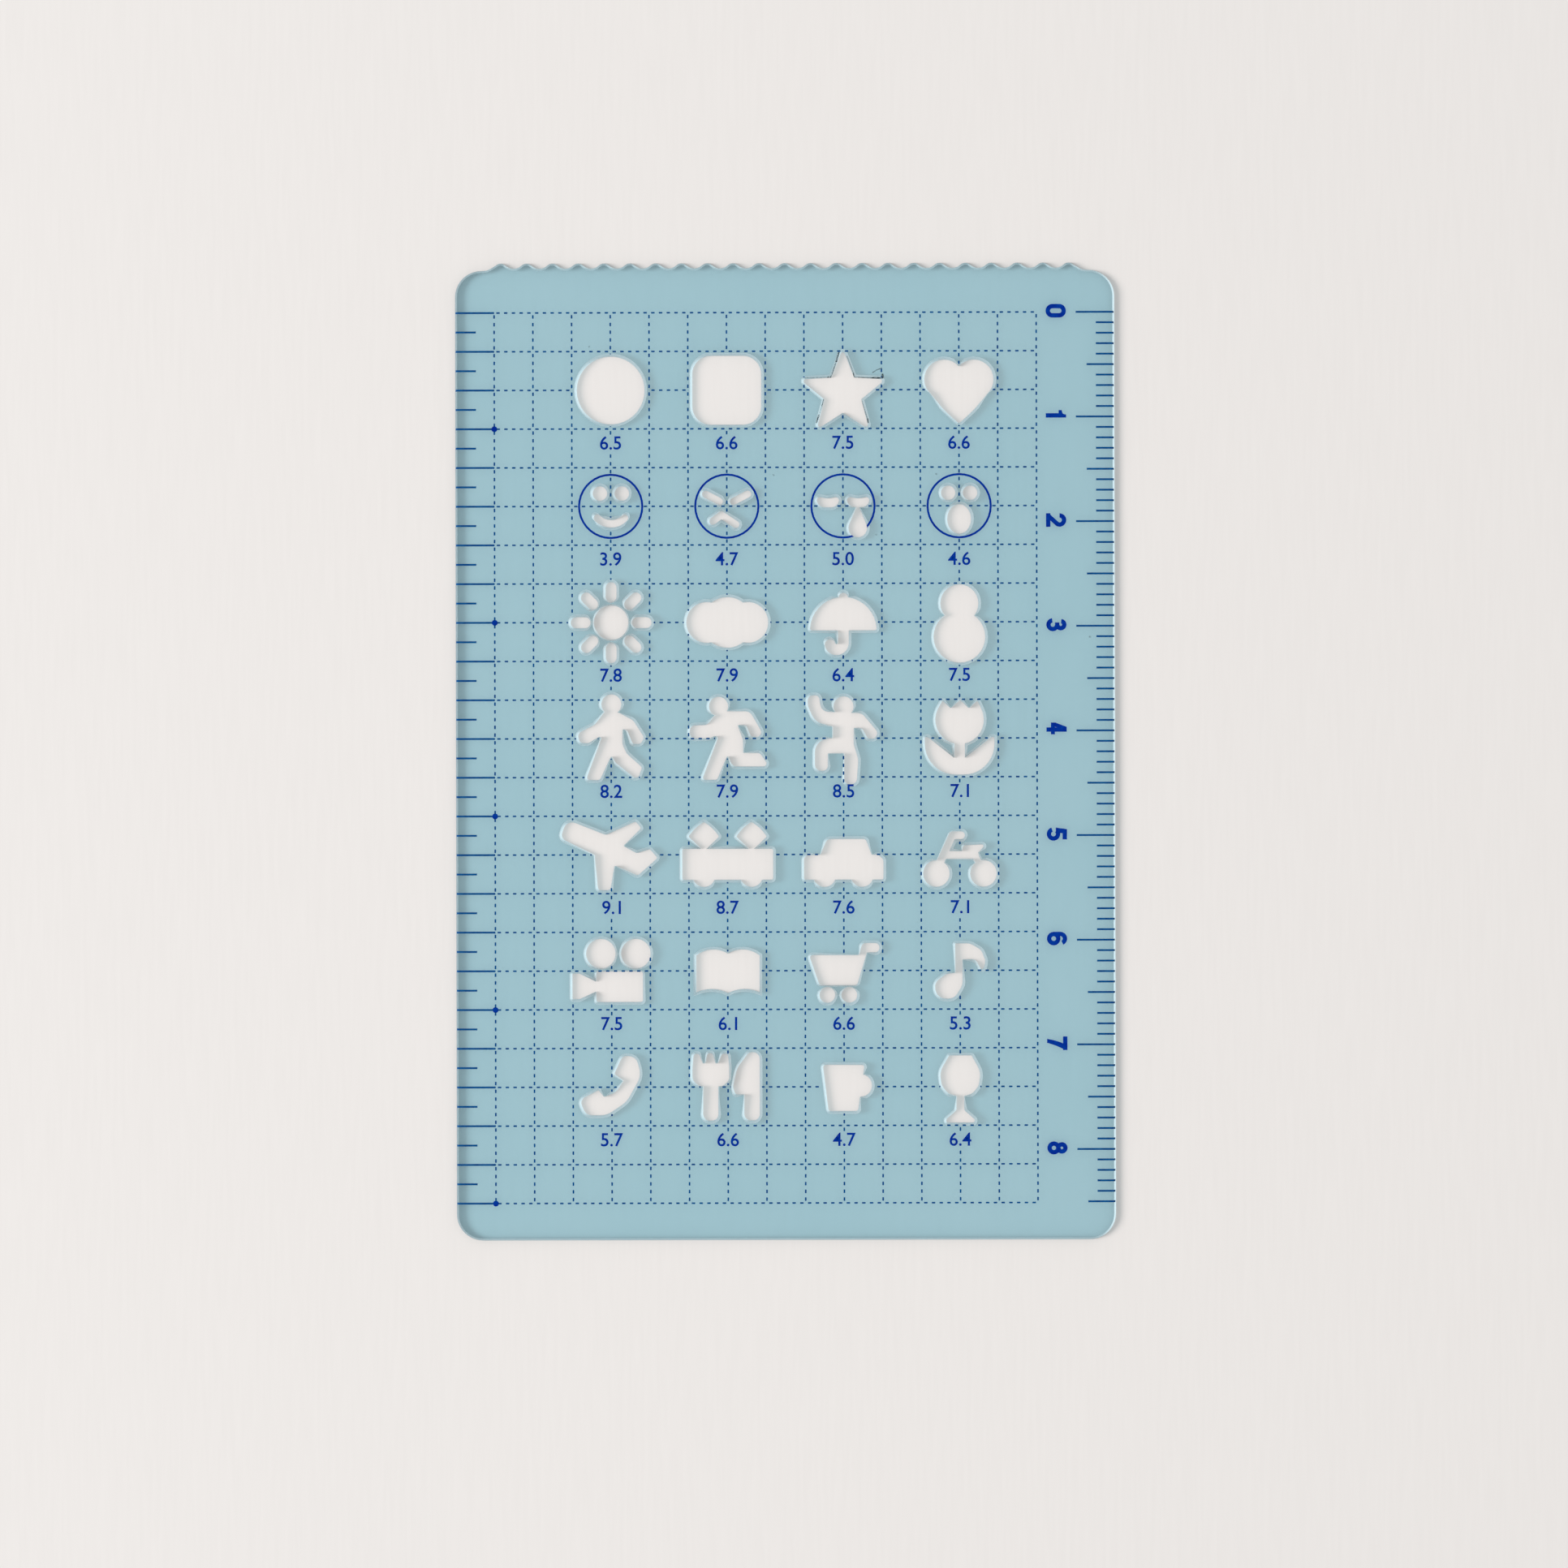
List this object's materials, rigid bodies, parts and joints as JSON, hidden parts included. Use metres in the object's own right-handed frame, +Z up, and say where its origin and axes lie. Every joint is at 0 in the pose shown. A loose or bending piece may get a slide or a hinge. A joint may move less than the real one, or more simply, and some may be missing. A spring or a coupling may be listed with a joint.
{
  "type": "planner_stencil",
  "caption": "Thin pocket drawing stencil of tinted clear plastic with cut-out figures, a scalloped edge and printed scales.",
  "frame": {"origin": "middle of the underside of the flat sheet, at the centre of its outline", "axes": "+X to the centimetre scale, +Y to the scalloped edge, +Z up out of the printed face"},
  "size_m": [0.063, 0.0934, 0.0005],
  "materials": {
    "tinted_plastic": "clear light-blue sheet, satin surface, polished cut edges",
    "print_ink": "screen-printed dark blue ink"
  },
  "bodies": {
    "root": {"stencil_sheet": "tinted_plastic", "face_ring_smiling": "print_ink", "face_ring_cross": "print_ink", "face_ring_crying": "print_ink", "face_ring_surprised": "print_ink", "row_tick_00": "print_ink", "row_tick_01": "print_ink", "row_tick_02": "print_ink", "row_tick_03": "print_ink", "row_tick_04": "print_ink", "row_tick_05": "print_ink", "row_tick_06": "print_ink", "row_tick_07": "print_ink", "row_tick_08": "print_ink", "row_tick_09": "print_ink", "row_tick_10": "print_ink", "row_tick_11": "print_ink", "row_tick_12": "print_ink", "row_tick_13": "print_ink", "row_tick_14": "print_ink", "row_tick_15": "print_ink", "row_tick_16": "print_ink", "row_tick_17": "print_ink", "row_tick_18": "print_ink", "row_tick_19": "print_ink", "row_tick_20": "print_ink", "row_tick_21": "print_ink", "row_tick_22": "print_ink", "row_tick_23": "print_ink", "centimetre_tick_0": "print_ink", "centimetre_tick_1": "print_ink", "centimetre_tick_2": "print_ink", "centimetre_tick_3": "print_ink", "centimetre_tick_4": "print_ink", "centimetre_tick_5": "print_ink", "centimetre_tick_6": "print_ink", "centimetre_tick_7": "print_ink", "centimetre_tick_8": "print_ink", "half_centimetre_tick_0": "print_ink", "half_centimetre_tick_1": "print_ink", "half_centimetre_tick_2": "print_ink", "half_centimetre_tick_3": "print_ink", "half_centimetre_tick_4": "print_ink", "half_centimetre_tick_5": "print_ink", "half_centimetre_tick_6": "print_ink", "half_centimetre_tick_7": "print_ink", "half_centimetre_tick_8": "print_ink", "ruler_numeral_0": "print_ink", "ruler_numeral_1": "print_ink", "ruler_numeral_2": "print_ink", "ruler_numeral_3": "print_ink", "ruler_numeral_4": "print_ink", "ruler_numeral_5": "print_ink", "ruler_numeral_6": "print_ink", "ruler_numeral_7": "print_ink", "ruler_numeral_8": "print_ink"}
  },
  "joints": []
}
